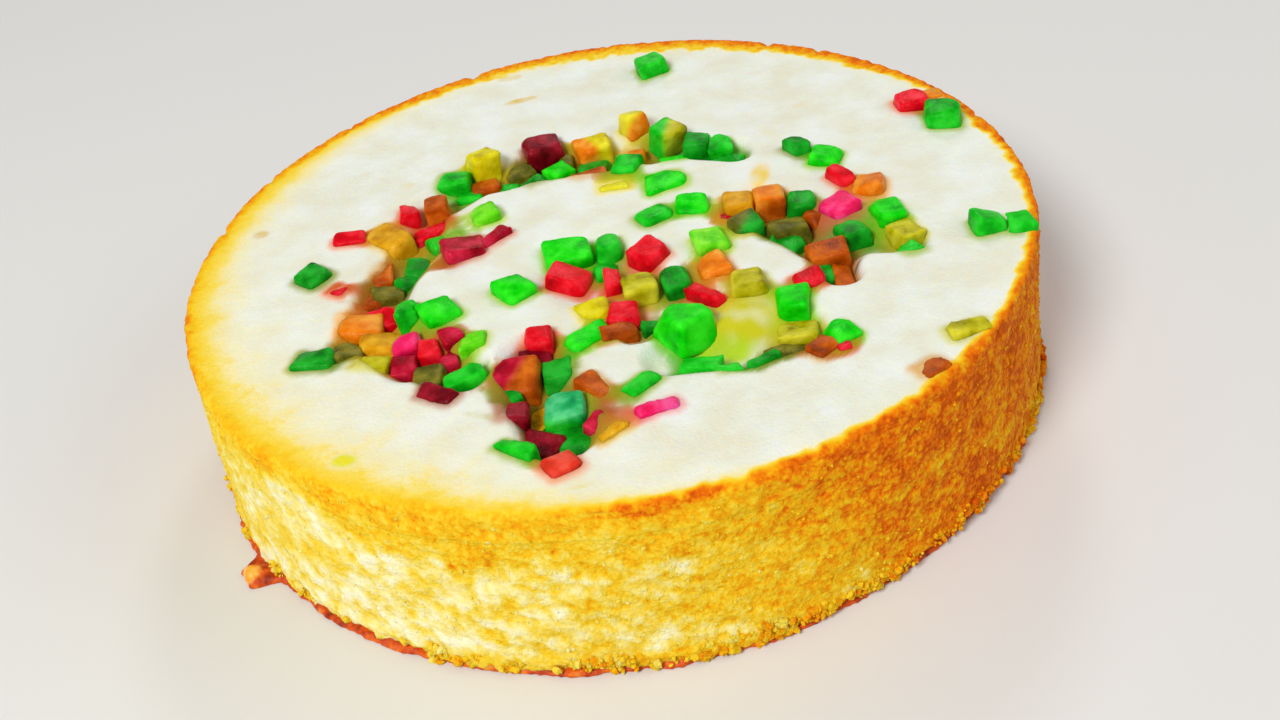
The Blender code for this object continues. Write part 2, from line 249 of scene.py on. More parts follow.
def place_piece(name, mesh, material):
    """Links a mesh as a piece of the cake that rides on its one body."""
    mesh.name = name
    mesh.materials.clear()
    mesh.materials.append(material)
    mesh.shade_smooth()
    piece = bpy.data.objects.new(name, mesh)
    scene.collection.objects.link(piece)
    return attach(piece, "root")


def soften_dice(mesh):
    """Evens out the skin of cut dice, rounds their edges and dents their faces."""
    rough = bpy.data.objects.new("rough dice", mesh)
    scene.collection.objects.link(rough)
    skin = rough.modifiers.new("even skin", "REMESH")
    skin.mode = "VOXEL"
    skin.voxel_size = DIE_SKIN * MM
    worn = rough.modifiers.new("worn edges", "SMOOTH")
    worn.factor = 0.5
    worn.iterations = 1
    graph = bpy.context.evaluated_depsgraph_get()
    soft = bpy.data.meshes.new_from_object(rough.evaluated_get(graph))
    bpy.data.objects.remove(rough)
    points = read_points(soft)
    normals = np.empty(len(soft.vertices) * 3)
    soft.vertex_normals.foreach_get("vector", normals)
    dents = sum(depth * noise_at(points, length, seed) for seed, (length, depth) in enumerate(DIE_DENTS, 1))
    points = points + normals.reshape(-1, 3) * (DIE_SWELL + dents[:, None])
    points[:, 2] = np.minimum(points[:, 2], cad_box[1][2] / MM)
    write_points(soft, points)
    return soft


def flesh_colour(tree, dye, cloudy):
    """The colour of one dye through the cloudy flesh."""
    deep, body, light = DYES[dye][:3]
    stops = [(0.24, deep), (0.46, body), (0.66, light)]
    return add_node(tree, "ShaderNodeValToRGB", {"stops": stops}, {"Fac": cloudy}).outputs["Color"]


def candied_fruit(dye, second=None, way=None, middle=None):
    """Syrup-soaked fruit flesh: see-through, so the light scatters deep inside, under a wet gloss."""
    name = f"candied fruit {dye} {second}" if second else f"candied fruit {dye}"
    finish = {
        "Subsurface Weight": 0.8,
        "Subsurface Radius": [0.15 + value for value in linear(DYES[dye][2])[:3]],
        "Subsurface Scale": 2.2 * MM,
        "IOR": 1.45,
        "Roughness": 0.28,
        "Specular IOR Level": 0.09,
    }
    material, tree, surface = new_material(name, finish)
    place = add_node(tree, "ShaderNodeTexCoord").outputs["Object"]
    scale = per_mm(CLOUD_SIZE)
    cloud = add_node(tree, "ShaderNodeTexNoise", None, {"Vector": place, "Scale": scale, "Detail": 3.0})
    colour = flesh_colour(tree, dye, cloud.outputs["Fac"])
    if second:
        from_middle = add_node(
            tree, "ShaderNodeVectorMath", {"operation": "SUBTRACT"}, {0: place, 1: Vector(middle) * MM}
        )
        toward = add_node(
            tree,
            "ShaderNodeVectorMath",
            {"operation": "DOT_PRODUCT"},
            {0: from_middle.outputs[0], 1: Vector(way)},
        )
        share = add_node(
            tree,
            "ShaderNodeMapRange",
            {"interpolation_type": "SMOOTHSTEP"},
            {"Value": toward.outputs["Value"], "From Min": -0.8 * MM, "From Max": 1.6 * MM},
        )
        colour = add_node(
            tree,
            "ShaderNodeMix",
            {"data_type": "RGBA"},
            {0: share.outputs[0], 6: colour, 7: flesh_colour(tree, second, cloud.outputs["Fac"])},
        ).outputs[2]
    tree.links.new(colour, surface.inputs["Base Color"])
    scale = per_mm(SUGAR_SIZE)
    sugar = add_node(tree, "ShaderNodeTexNoise", None, {"Vector": place, "Scale": scale, "Detail": 2.0})
    bump = add_node(
        tree, "ShaderNodeBump", None, {"Height": sugar.outputs["Fac"], "Strength": 0.9, "Distance": 0.18 * MM}
    )
    tree.links.new(bump.outputs["Normal"], surface.inputs["Normal"])
    return material


fruit_materials = {dye: candied_fruit(dye) for dye in DYES if dye not in SECOND_DYES}
fruit_meshes = {dye: [] for dye in fruit_materials}
for node_name in sorted(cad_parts):
    if not node_name.startswith("fruit_"):
        continue
    dye, number = node_name[len("fruit_") :].rsplit("_", 1)
    mesh = soften_dice(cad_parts[node_name].data.copy())
    material = fruit_materials[dye]
    if node_name in TWO_TONED:
        material = candied_fruit(*TWO_TONED[node_name], read_points(mesh).mean(axis=0))
    die = place_piece(f"die_{dye}_{number}", mesh, material)
    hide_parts(node_name)
    fruit_meshes[dye].append(mesh)


# Sunk dice of candied fruit.
# The same dice, smaller or lower in the batter, which is baked up round them. In the frame they are part
# of the cake, so they stand for it together with the crumb, one piece for each dye.

CAKE_HEIGHT = 38.0
DIE_HEIGHT = 6.5

# How a die is cut: how uneven it is as a share of its width, how many corners are off, the share of its
# width that such a corner takes, and how far the die leans in degrees.
UNEVEN_SHARE = 0.12
CUT_CORNERS = (0, 1, 1, 2)
CUT_SHARE = (0.25, 0.45)
MOST_LEAN = 9

# Each die: x, y, height of its top over the cake's, wide, deep, turn.
SUNK_FRUIT = {
    "bright_green": [
        (-8, 28, -0.5, 6, 5.5, 40),
        (18.5, 22.8, -0.5, 6, 4.5, 0),
        (-6.8, -41.5, 1, 9.5, 4.5, 30),
    ],
    "lime": [
        (-28.8, -36.3, 0.8, 4.5, 5, 0),
    ],
    "green": [
        (-29, 24, -1.5, 5, 4, 0),
        (-20, 26, -2, 4, 4, 0),
        (-34, 5.5, -0.5, 6.5, 5.5, 25),
        (-30.3, -46.2, 0.5, 8, 4.5, 12),
        (-21.5, -71, 1.3, 8, 3, -40),
        (13, -54.5, -0.5, 7.5, 4.5, -25),
        (18, -57, -0.5, 4, 2.5, 10),
        (58.8, -29.5, 0, 4, 4.5, 20),
        (-1, -18, -0.5, 5, 5, 0),
        (28.8, 24.5, 1, 6, 5.5, 10),
    ],
    "dark_green": [
        (-13.5, 24, -1, 5.5, 5, 30),
        (0.5, 28.5, -1.5, 7, 4.5, -10),
        (24, 25.5, 2, 5.5, 6, -20),
        (30, 21.5, -1.5, 8, 3, -25),
        (-40.5, -2, -1, 5, 6, 0),
        (-42.5, -7, -2, 5.5, 4, 10),
        (41.2, -30.8, -1, 2.8, 5.6, 0),
        (-23, -53.2, -0.5, 5, 4, 30),
        (-12, -65.5, -2, 9.5, 6, 0),
        (-10.5, -69, -2.5, 7, 5, 0),
        (36.3, -18.5, -1, 7, 5, -40),
        (5.5, -40, -0.5, 4, 3, 0),
        (25, -57, 0.2, 6, 2.5, 20),
        (-13, -48.8, 0, 5.5, 6, 0),
    ],
    "dark_olive": [
        (-54, -30.5, -0.5, 6, 6, 0),
        (-47, -10, -2, 6, 6, 0),
        (-5.5, 32, -1, 3, 5, 0),
        (-17, 31, -1, 6.5, 6, 20),
        (37.5, -14.3, 0, 7.6, 6.2, 10),
        (29, -54, -1, 9, 4, 20),
        (-37.4, -42.2, -0.5, 6, 5, -10),
    ],
    "olive": [
        (-48.2, -37, 0, 6, 4.5, -20),
        (59.5, -23.5, 0.5, 5.5, 7, 15),
        (32.5, -49.5, 0, 8, 6, -10),
        (61.4, -59.4, 1, 7.6, 4, 8),
    ],
    "yellow": [
        (4, 14.5, 0.4, 7, 5.5, 0),
        (-5, -32.5, 0.5, 6, 5.5, 0),
    ],
    "amber": [
        (-47, -28.5, -1, 8.5, 7.5, -20),
        (-4.5, -70.3, 0.8, 6, 2, 35),
        (-36.5, -2, -1.5, 3.5, 5, 0),
    ],
    "orange": [
        (10, 29, -0.5, 4, 4, 0),
        (79.5, 30.6, 1, 4, 4, 0),
    ],
    "rust": [
        (-35.7, 17.5, 2.3, 4.8, 6, 0),
        (-25, 27, -1, 6, 5.5, 10),
        (-52, -11, -2, 7.5, 7.5, 10),
        (-48, -3.5, -1, 4.5, 6, 0),
        (-35, -4, -0.6, 3, 6, 0),
        (44.3, -33, -1.5, 3.5, 8, 0),
        (-1, -41.2, 0.6, 7, 4.5, 10),
        (35.3, -57, 0.9, 5.5, 4.3, 35),
        (52.5, -68.3, 0.8, 5.5, 4, 30),
        (43, -11, 0, 4, 4, 40),
        (-1.6, 22.3, -0.5, 8, 5.5, 10),
    ],
    "red": [
        (-42.5, 17.3, 1.2, 4, 5.5, 10),
        (-37.2, 10.8, -1, 7.5, 5, 20),
        (-56.5, -9.5, 0.4, 4, 4, -40),
        (51.6, 0.5, 2, 3.8, 5.8, 35),
        (-47, -19, -1, 6, 5.5, 0),
        (-37.2, -34.8, 0, 4.2, 5, 0),
        (-0.3, -23, 1, 3.2, 6.3, 0),
        (17.6, -35, 1.5, 3, 8.5, 38),
        (39, -57.5, 0.7, 2.5, 2, 0),
        (25.5, -6.5, 0.3, 3, 3, 0),
    ],
    "crimson": [
        (-23, 0, 1, 8, 3, 40),
        (-42, -37.8, -0.5, 5, 5, 0),
        (-32.9, -32.8, 1, 4, 5, 20),
        (-33, -38.5, -0.5, 4, 4, 0),
        (-7, -65.5, 0, 5, 3, 45),
    ],
    "maroon": [
        (-17, -43, -0.5, 6, 4, 0),
        (-35, -51, 1, 8.3, 3.5, -35),
        (-17.5, -67, -2.5, 7, 6, -30),
    ],
    "pink": [
        (3.5, -65.8, 0.9, 8, 2.5, 15),
    ],
}


def cut_die(piece):
    """One die: a cube with uneven and cut corners, set at its place."""
    x, y, top, wide, deep, turn = piece
    draw = random.Random(f"{x} {y} {turn}")
    trim = random.Random(f"trim {x} {y} {turn}")
    shape = bmesh.new()
    bmesh.ops.create_cube(shape, size=1.0)
    size = Vector((wide, deep, DIE_HEIGHT))
    for vert in shape.verts:
        uneven = [draw.uniform(-UNEVEN_SHARE, UNEVEN_SHARE) * min(wide, deep) for axis in range(3)]
        vert.co = Vector([c * s for c, s in zip(vert.co, size)]) + Vector(uneven)
    upper = [vert for vert in shape.verts if vert.co.z > 0.0]
    cut_off = trim.sample(upper, trim.choice(CUT_CORNERS))
    depth = trim.uniform(*CUT_SHARE) * min(wide, deep)
    bmesh.ops.bevel(shape, geom=cut_off, offset=depth, segments=1, affect="VERTICES", profile=0.5)
    bmesh.ops.delete(shape, geom=shape.edges[:] + shape.faces[:], context="EDGES_FACES")
    bmesh.ops.convex_hull(shape, input=shape.verts[:])
    lean = Matrix.Rotation(math.radians(draw.uniform(-MOST_LEAN, MOST_LEAN)), 4, "X")
    lean = lean @ Matrix.Rotation(math.radians(draw.uniform(-MOST_LEAN, MOST_LEAN)), 4, "Y")
    place = Matrix.Translation(Vector((x, y, CAKE_HEIGHT + top - 0.5 * DIE_HEIGHT)))
    turned = place @ Matrix.Rotation(math.radians(turn), 4, "Z") @ lean
    bmesh.ops.transform(shape, matrix=Matrix.Scale(MM, 4) @ turned, verts=shape.verts[:])
    mesh = bpy.data.meshes.new("die")
    shape.to_mesh(mesh)
    shape.free()
    return mesh


for dye, pieces in SUNK_FRUIT.items():
    shape = bmesh.new()
    for piece in pieces:
        shape.from_mesh(cut_die(piece))
    mesh = bpy.data.meshes.new(dye)
    shape.to_mesh(mesh)
    shape.free()
    mesh = soften_dice(mesh)
    sunk = place_piece(f"sunk_dice_{dye}", mesh, fruit_materials[dye])
    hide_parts("cake")
    fruit_meshes[dye].append(mesh)


# Top of the cake.
# Semolina batter that set pale and nearly level in a slow oven, and sank in channels where the fruit lay.
# It is one skin over the top, the rim and the first stretch of the wall, closed underneath.

TOP_RADIUS = 90.0
FOOT_RADIUS = 91.4
RIM_ROUNDING = 1.6
TOP_GRID = 264
RIM_STEP = 0.4
LID_DEPTH = 6.4
LID_TUCK = 1.2
HALO_REACH = 1.1
SOAK_REACH = 3.3
FARTHEST_STAIN = 4.5
SOAKED_CRUMB = "#C8A83C"
PLAIN_WEIGHT = 0.001

# A hole where a crumb came off the top: x, y, half width, half depth, turn, how deep.
DENT = (2.5, -43.0, 3.0, 1.8, 10, 1.4)

# The torn wall: the angle from which its stretches are counted, where it is torn most, and its grains.
WALL_START = 200.0
TORN_MIDDLE = 232.0
TUFT_SIZE = 4.6
CLUMP_SIZE = 2.7
GRAIN_SIZE = 1.25

# Channels in the top: x, y, x, y, half width, depth.
CHANNELS = [
    (-38, 18, -27, 27, 7, 2.6),
    (-27, 27, -12, 29, 7, 3.6),
    (-12, 29, 6, 27.5, 7, 3.6),
    (6, 27.5, 20, 27, 6.5, 3.4),
    (20, 27, 32, 21, 5.5, 3),
    (-38, 18, -40, 2, 6.5, 2.4),
    (-40, 2, -46, -10, 7, 3.2),
    (-46, -10, -49, -25, 7.5, 3.6),
    (-49, -25, -40, -38, 8, 3.6),
    (-50, -28, -58, -31, 5.5, 2),
    (-40, -38, -31, -45, 7, 3.2),
    (-18, -45, -16, -58, 8, 3.8),
    (-16, -58, -14, -68, 8, 5.6),
    (8, -51, 20, -53, 6.5, 3.0),
    (20, -53, 33, -50, 7, 3.2),
    (32, -4, 38, -14, 8, 3.4),
    (38, -14, 44.5, -26, 7.5, 3.6),
    (44.5, -26, 44, -34, 5, 4.4),
    (50, -24, 59, -26, 5.5, 3.4),
    (-6, -16, 8, -36, 13, 1.8),
]

# Chips out of the rim: angle, half width, depth.
RIM_CHIPS = [
    (107.5, 1.3, 0.9),
    (163.5, 1.6, 0.9),
    (56.2, 1.0, 0.7),
    (46.8, 0.9, 0.6),
    (131.0, 0.8, 0.5),
    (149.0, 1.0, 0.5),
    (84.0, 0.8, 0.4),
    (12.0, 1.1, 0.6),
]

# Stains and browned flecks on the batter: x, y, half width, half depth, turn, colour, strength.
STAINS = [
    (35.5, 8.0, 2.6, 6.5, -15, "#F0C92C", 0.85),
    (22.0, -43.5, 10.0, 7.5, 10, "#CCC624", 0.95),
    (18.5, -49.5, 7.0, 3.4, 0, "#B4D02A", 0.85),
    (-28.0, -59.0, 3.6, 1.2, -30, "#C3C45E", 0.6),
    (-43.0, 31.0, 2.2, 2.0, 0, "#E6CF74", 0.5),
    (41.0, 27.0, 2.4, 3.6, 20, "#E2DC96", 0.5),
    (-52.0, -65.0, 3.0, 2.2, 0, "#E6DC34", 0.95),
    (-34.0, -74.5, 3.4, 1.1, -12, "#E9D868", 0.5),
    (-11.0, -82.5, 3.0, 0.9, 5, "#E6D258", 0.6),
    (29.0, -75.0, 2.2, 0.9, 20, "#E4D870", 0.5),
    (41.0, -62.0, 1.6, 1.0, 0, "#E6DC86", 0.5),
    (-66.0, -41.0, 2.6, 1.5, -20, "#E8DA84", 0.5),
    (-15.0, 65.0, 5.0, 1.6, 12, "#DDBA3A", 0.9),
    (-17.0, 79.0, 3.6, 1.8, 5, "#E0C24A", 0.8),
    (-76.0, 20.0, 2.4, 2.0, 0, "#D8B44A", 0.8),
    (51.0, 37.0, 3.4, 1.6, 15, "#EBCB92", 0.5),
    (43.0, 58.0, 3.0, 1.4, -10, "#EACB8C", 0.45),
    (2.4, -43.2, 2.3, 1.3, 12, "#C9A070", 0.9),
    (2.9, -43.5, 1.1, 0.6, 30, "#8A5A2C", 0.8),
    (-37.0, -2.0, 2.6, 2.6, 0, "#DDBB72", 0.6),
    (48.2, -30.8, 0.45, 3.2, -32, "#2E3810", 0.95),
    (34.2, -58.6, 0.5, 1.1, -20, "#3A3416", 0.85),
    (54.0, -27.6, 5.0, 0.6, 4, "#6A6A1E", 0.75),
]


def smoothstep(low, high, value):
    t = np.clip((value - low) / (high - low), 0.0, 1.0)
    return t * t * (3.0 - 2.0 * t)


def channel_depth(x, y, channel):
    """How far one channel sinks the top here; its far bank runs up more gently than its near one."""
    x1, y1, x2, y2, half_width, depth = channel
    along_x, along_y = x2 - x1, y2 - y1
    share = ((x - x1) * along_x + (y - y1) * along_y) / (along_x**2 + along_y**2)
    share = np.clip(share, 0.0, 1.0)
    off_x = x - x1 - share * along_x
    off_y = y - y1 - share * along_y
    off_y = np.where(off_y > 0.0, off_y / 1.35, off_y)
    return depth * (1.0 - smoothstep(0.3, 1.0, np.hypot(off_x, off_y) / half_width))


def top_height(x, y):
    """Height of the cake's top here: nearly level, with the sunk channels and slow waves in the batter."""
    sunk = sum(channel_depth(x, y, channel) ** 4 for channel in CHANNELS) ** 0.25
    waves = 0.12 * np.sin(0.09 * x + 0.05 * y) + 0.1 * np.sin(0.13 * y - 0.06 * x + 1.0)
    fade = 1.0 - smoothstep(70.0, 86.0, np.hypot(x, y))
    return CAKE_HEIGHT + waves * fade - sunk


def ring_points(radius, angle, height):
    """Points at these distances from the middle, at these angles and heights."""
    return np.stack(np.broadcast_arrays(radius * np.cos(angle), radius * np.sin(angle), height), axis=1)


def degrees_past(angle, middle):
    """How far an angle in radians lies past this middle in degrees, from -180 to 180."""
    return (np.degrees(angle) - middle + 180.0) % 360.0 - 180.0


def wall_wobble(angle, height):
    """How far the torn side wall stands in from the true cone."""
    slow = np.sin(5.0 * angle + 0.11 * height) + np.sin(11.0 * angle - 0.2 * height + 2.0)
    quick = np.sin(23.0 * angle + 0.5 * height) * np.sin(17.0 * angle - 0.3 * height)
    return 0.2 * (slow + 2.0) + 0.4 * quick * quick


def grains_at(points, size, seed):
    """Rounded grains this many millimetres wide: how high each point lies on its own grain, 0 to 1."""
    shifted = points / size + np.array([5.7, 13.1, 23.9]) * seed
    nearest = np.array([noise.voronoi(p)[0][0] for p in shifted.tolist()])
    return np.clip(1.0 - nearest * nearest * 1.6, 0.0, 1.0)


def share_round(angle, middle, spread):
    """Share of one stretch of the cake's round: 1 in its middle, falling off either way, in degrees."""
    return np.exp(-((degrees_past(angle, middle) / spread) ** 2))


def mixed(first, second, share):
    return first * (1.0 - share) + second * share


def side_facts(angle, height, points):
    """How baked the wall is, from 0 for the palest crumb to 1 for brown crust, with painted light on grain
    tops and painted shade between them, and its relief.
    """
    below = CAKE_HEIGHT - height
    onward = (np.degrees(angle) - WALL_START) % 360.0
    cloud = noise_at(points, 15.0, 3) + 0.5 * noise_at(points, 6.0, 4)
    fleck = noise_at(points, 4.0, 5) + 0.6 * noise_at(points, 1.8, 6)
    tuft = grains_at(points, TUFT_SIZE, 3) - 0.5
    clump = grains_at(points, CLUMP_SIZE, 2) - 0.5
    grain = grains_at(points, GRAIN_SIZE, 1) - 0.5

    # The skin holds on near the rim and tore off in patches below it, most of all at the left front.
    skin_depth = 4.4 + 7.2 * smoothstep(25.0, 37.0, onward) + 4.0 * noise_at(points, 9.0, 8) + 1.6 * fleck
    torn = smoothstep(-2.4, 4.0, below - skin_depth + 1.4 * clump)
    patches = cloud + 0.3 * fleck
    patches = patches + 1.05 * share_round(angle, TORN_MIDDLE, 38.0) + 0.58 * share_round(angle, 262.0, 20.0)
    torn = torn * smoothstep(-0.3, 0.6, patches - 0.5)
    foot_skin = smoothstep(1.0, 6.5, height + 2.0 * fleck)
    torn = torn * mixed(1.0, foot_skin, smoothstep(25.0, 50.0, onward))

    # The oven's hot side toasted the wall at the right, and a band under the rim from there round the back.
    toast_edge = 92.0 - 0.3 * (height - 24.0) + 7.0 * cloud
    toasted = smoothstep(-9.0, 9.0, onward - toast_edge) * (1.0 - smoothstep(190.0, 225.0, onward))
    rim_band = 1.8 + 3.2 * smoothstep(80.0, 115.0, onward) + 2.6 * fleck + 1.2 * noise_at(points, 9.0, 9)
    rim_toast = smoothstep(58.0, 74.0, onward) * (1.0 - smoothstep(270.0, 320.0, onward))
    rim_toast = rim_toast * (1.0 - smoothstep(-1.4, 1.4, below - rim_band))
    torn = torn * (1.0 - 0.85 * toasted)

    # Golden skin, browner near the rim and onward to the right, then the toast, then the torn crumb.
    rim_gold = 0.12 - 0.03 * share_round(angle, 228.0, 40.0)
    bake = 0.41 + 0.07 * cloud + rim_gold * np.exp(-((below / 6.0) ** 2)) + 0.11 * fleck
    bake = bake + 0.13 * smoothstep(52.0, 88.0, onward)
    bake = mixed(bake, 0.79 + 0.15 * cloud + 0.16 * fleck, toasted)
    bake = mixed(bake, 0.81 + 0.13 * fleck, rim_toast)
    # A darker band along the torn skin's edge at the left front: the skin's browned edge, and a painted
    # shadow under its ledge.
    torn_edge_and_shadow = np.exp(-(((below - skin_depth) / 0.8) ** 2)) * smoothstep(0.2, 0.6, fleck)
    bake = bake + 0.26 * torn_edge_and_shadow * share_round(angle, TORN_MIDDLE, 30.0)
    # The torn crumb is paler on its tufts: its own colour, and painted light on their tops.
    pale = 0.275 - 0.14 * share_round(angle, 228.0, 24.0) + 0.2 * noise_at(points, 4.2, 10)
    pale = pale + 0.18 * noise_at(points, 1.9, 11) - 0.2 * tuft
    bake = mixed(bake, pale, torn)
    # Grain and clump tops paler, the hollows between them more golden: the crumb's own colour, with painted
    # light on the tops and painted shade in the hollows.
    coarse = mixed(0.55, 0.85, smoothstep(40.0, 90.0, onward))
    bake = bake - coarse * (0.17 * clump + 0.22 * grain)

    near_rim = 1.0 - smoothstep(1.0, 5.0, below)
    relief = 0.12 * noise_at(points, 6.0, 7) + 0.2 * torn * tuft
    relief = relief + (0.16 + 0.06 * torn) * clump + (0.24 + 0.08 * torn) * grain - 0.12 * torn
    return np.clip(bake, 0.0, 1.0), relief * (1.0 - 0.55 * near_rim)


def wall_points(angle, height, tuck):
    """Points of the side wall and how baked they are; tuck draws them in, out of sight."""
    lean = (FOOT_RADIUS - TOP_RADIUS) * (1.0 - height / CAKE_HEIGHT)
    radius = TOP_RADIUS + lean - wall_wobble(angle, height)
    bake, relief = side_facts(angle, height, ring_points(radius, angle, height))
    return ring_points(radius + relief - tuck, angle, height), bake


def ring_faces(rings, sectors):
    """Quads between rings of points that follow each other."""
    ring, sector = np.meshgrid(np.arange(rings - 1), np.arange(sectors), indexing="ij")
    here = ring * sectors + sector
    beside = ring * sectors + (sector + 1) % sectors
    return np.stack([here, here + sectors, beside + sectors, beside], axis=-1).reshape(-1, 4).tolist()


def round_grid(count):
    """A square grid squeezed into a round disc of radius 1, and its outer points in order."""
    u, v = np.meshgrid(np.linspace(-1.0, 1.0, count + 1), np.linspace(-1.0, 1.0, count + 1))
    wide = np.abs(u) >= np.abs(v)
    safe_u = np.where(u == 0.0, 1.0, u)
    safe_v = np.where(v == 0.0, 1.0, v)
    angle = np.where(wide, 0.25 * np.pi * v / safe_u, 0.5 * np.pi - 0.25 * np.pi * u / safe_v)
    radius = np.where(wide, u, v)
    x, y = radius * np.cos(angle), radius * np.sin(angle)
    index = np.arange((count + 1) ** 2).reshape(count + 1, count + 1)
    quads = np.stack([index[:-1, :-1], index[:-1, 1:], index[1:, 1:], index[1:, :-1]], axis=-1)
    rim = np.concatenate([index[:-1, -1], index[-1, :0:-1], index[:0:-1, 0], index[0, :-1]])
    return x.ravel(), y.ravel(), quads.reshape(-1, 4).tolist(), rim


def fruit_distance(points, meshes, farthest):
    """How far each point is from this fruit, in millimetres, and no more than the farthest."""
    away = np.full(len(points), farthest)
    for mesh in meshes:
        corners = read_points(mesh)
        low, high = corners.min(axis=0) - farthest, corners.max(axis=0) + farthest
        near = np.flatnonzero(np.all((points > low) & (points < high), axis=1))
        tree = BVHTree.FromPolygons(corners.tolist(), [tuple(p.vertices) for p in mesh.polygons])
        for index, place in zip(near, points[near].tolist()):
            found = tree.find_nearest(place, farthest)[3]
            if found is not None:
                away[index] = min(away[index], found)
    return away


def spot(x, y, stain):
    """How strongly one stain shows at each point."""
    x0, y0, half_width, half_depth, turn, strength = stain
    turn = math.radians(turn)
    across = ((x - x0) * math.cos(turn) + (y - y0) * math.sin(turn)) / half_width
    along = ((y - y0) * math.cos(turn) - (x - x0) * math.sin(turn)) / half_depth
    return strength * (1.0 - smoothstep(0.5, 1.3, np.hypot(across, along)))


def light_of(hex_colour):
    """The linear red, green and blue of a colour."""
    return np.array(linear(hex_colour))[:3]


def add_fact(mesh, name, values):
    """Keeps a value or a colour for each point of the mesh, which its material reads."""
    if values.ndim == 1:
        mesh.attributes.new(name, "FLOAT", "POINT").data.foreach_set("value", values)
    else:
        opaque = np.concatenate([values, np.ones((len(values), 1))], axis=1)
        mesh.attributes.new(name, "FLOAT_COLOR", "POINT").data.foreach_set("color", opaque.ravel())


grid_x, grid_y, faces, rim = round_grid(TOP_GRID)
flat_radius = TOP_RADIUS - RIM_ROUNDING
grid_x, grid_y = grid_x * flat_radius, grid_y * flat_radius
disc = np.stack([grid_x, grid_y, top_height(grid_x, grid_y)], axis=1)
rim_angle = np.arctan2(grid_y[rim], grid_x[rim])
sectors = len(rim)

# The rounded rim, a row of points at a time, and the way in which the skin faces there.
rim_rows = int(0.5 * math.pi * RIM_ROUNDING / RIM_STEP)
skin_rows, facing_rows = [disc], [np.tile([0.0, 0.0, 1.0], (len(disc), 1))]
for step in range(1, rim_rows + 1):
    turn = 0.5 * math.pi * step / rim_rows
    radius = TOP_RADIUS - RIM_ROUNDING * (1.0 - math.sin(turn))
    height = CAKE_HEIGHT - RIM_ROUNDING * (1.0 - math.cos(turn))
    inward = smoothstep(0.0, 1.0, step / rim_rows) * wall_wobble(rim_angle, height)
    skin_rows.append(ring_points(radius - inward, rim_angle, height))
    facing_rows.append(ring_points(math.sin(turn), rim_angle, math.cos(turn)))
skin = np.concatenate(skin_rows)
facing = np.concatenate(facing_rows)

# Relief of the skin: fine waves, grains along the rim, chips out of it, and batter that climbs the fruit.
angle = np.arctan2(skin[:, 1], skin[:, 0])
onto_wall = 1.0 - facing[:, 2]
reach_in = TOP_RADIUS - np.hypot(skin[:, 0], skin[:, 1])
chips = np.zeros(len(skin))
for chip_angle, half_width, depth in RIM_CHIPS:
    off = np.radians(degrees_past(angle, chip_angle)) * TOP_RADIUS / half_width
    chips += depth * np.exp(-off * off) * (1.0 - smoothstep(1.5, 4.0, reach_in))
near_rim = 1.0 - smoothstep(1.0, 5.0, reach_in)
fine = 0.1 * noise_at(skin, 5.0, 20) + 0.06 * noise_at(skin, 2.2, 21) + 0.05 * noise_at(skin, 1.1, 22)
coarse = near_rim * (0.14 * noise_at(skin, 2.6, 23) + 0.24 * (grains_at(skin, 1.4, 1) - 0.5))
dent = spot(skin[:, 0], skin[:, 1], DENT)

distances = {dye: fruit_distance(skin, meshes, FARTHEST_STAIN) for dye, meshes in fruit_meshes.items()}
reached = {dye: distance < FARTHEST_STAIN for dye, distance in distances.items()}
crowding = sum(np.where(reached[dye], np.exp(-distance / 2.6), 0.0) for dye, distance in distances.items())
sunk_here = CAKE_HEIGHT - top_height(skin[:, 0], skin[:, 1])
soaked = smoothstep(0.5, 2.4, sunk_here) * smoothstep(0.2, 0.9, crowding)
soaked = np.maximum(soaked, smoothstep(0.85, 1.6, crowding))
raised = 0.35 * np.exp(-((np.min(list(distances.values()), axis=0) / 0.8) ** 2))
skin += facing * (fine + coarse - chips + raised - dent)[:, None]

# Syrup in the batter: a thin halo round each die, and a deep stain where dice lie close in a channel. Each
# point takes the dyes near it by weight, and plain batter has a trace of weight everywhere.
halo_reach = mixed(HALO_REACH, SOAK_REACH, soaked) * (1.0 + 0.35 * noise_at(skin, 2.5, 24))
stain = PLAIN_WEIGHT * light_of("#E7E6DC") * np.ones((len(skin), 3))
weight = np.full(len(skin), PLAIN_WEIGHT)
clear = np.ones(len(skin))
for dye, distance in distances.items():
    near = np.where(reached[dye], np.exp(-((distance / halo_reach) ** 2)), 0.0)
    soak = 0.75 * light_of(DYES[dye][1]) + 0.2 * light_of(SOAKED_CRUMB)
    syrup = light_of(DYES[dye][3]) * (1.0 - soaked)[:, None] + soak * soaked[:, None]
    stain += syrup * (near**2)[:, None]
    weight += near**2
    clear *= 1.0 - mixed(0.85, 0.98, soaked) * near
stain /= weight[:, None]
amount = (1.0 - clear) * smoothstep(1.5, 4.0, reach_in)
ragged = 1.0 + 0.35 * noise_at(skin, 3.2, 25)
for *place, colour, strength in STAINS:
    here = np.clip(spot(skin[:, 0], skin[:, 1], (*place, strength)) * ragged, 0.0, 1.0)
    stain = stain * (1.0 - here[:, None]) + light_of(colour) * here[:, None]
    amount = 1.0 - (1.0 - amount) * (1.0 - here)

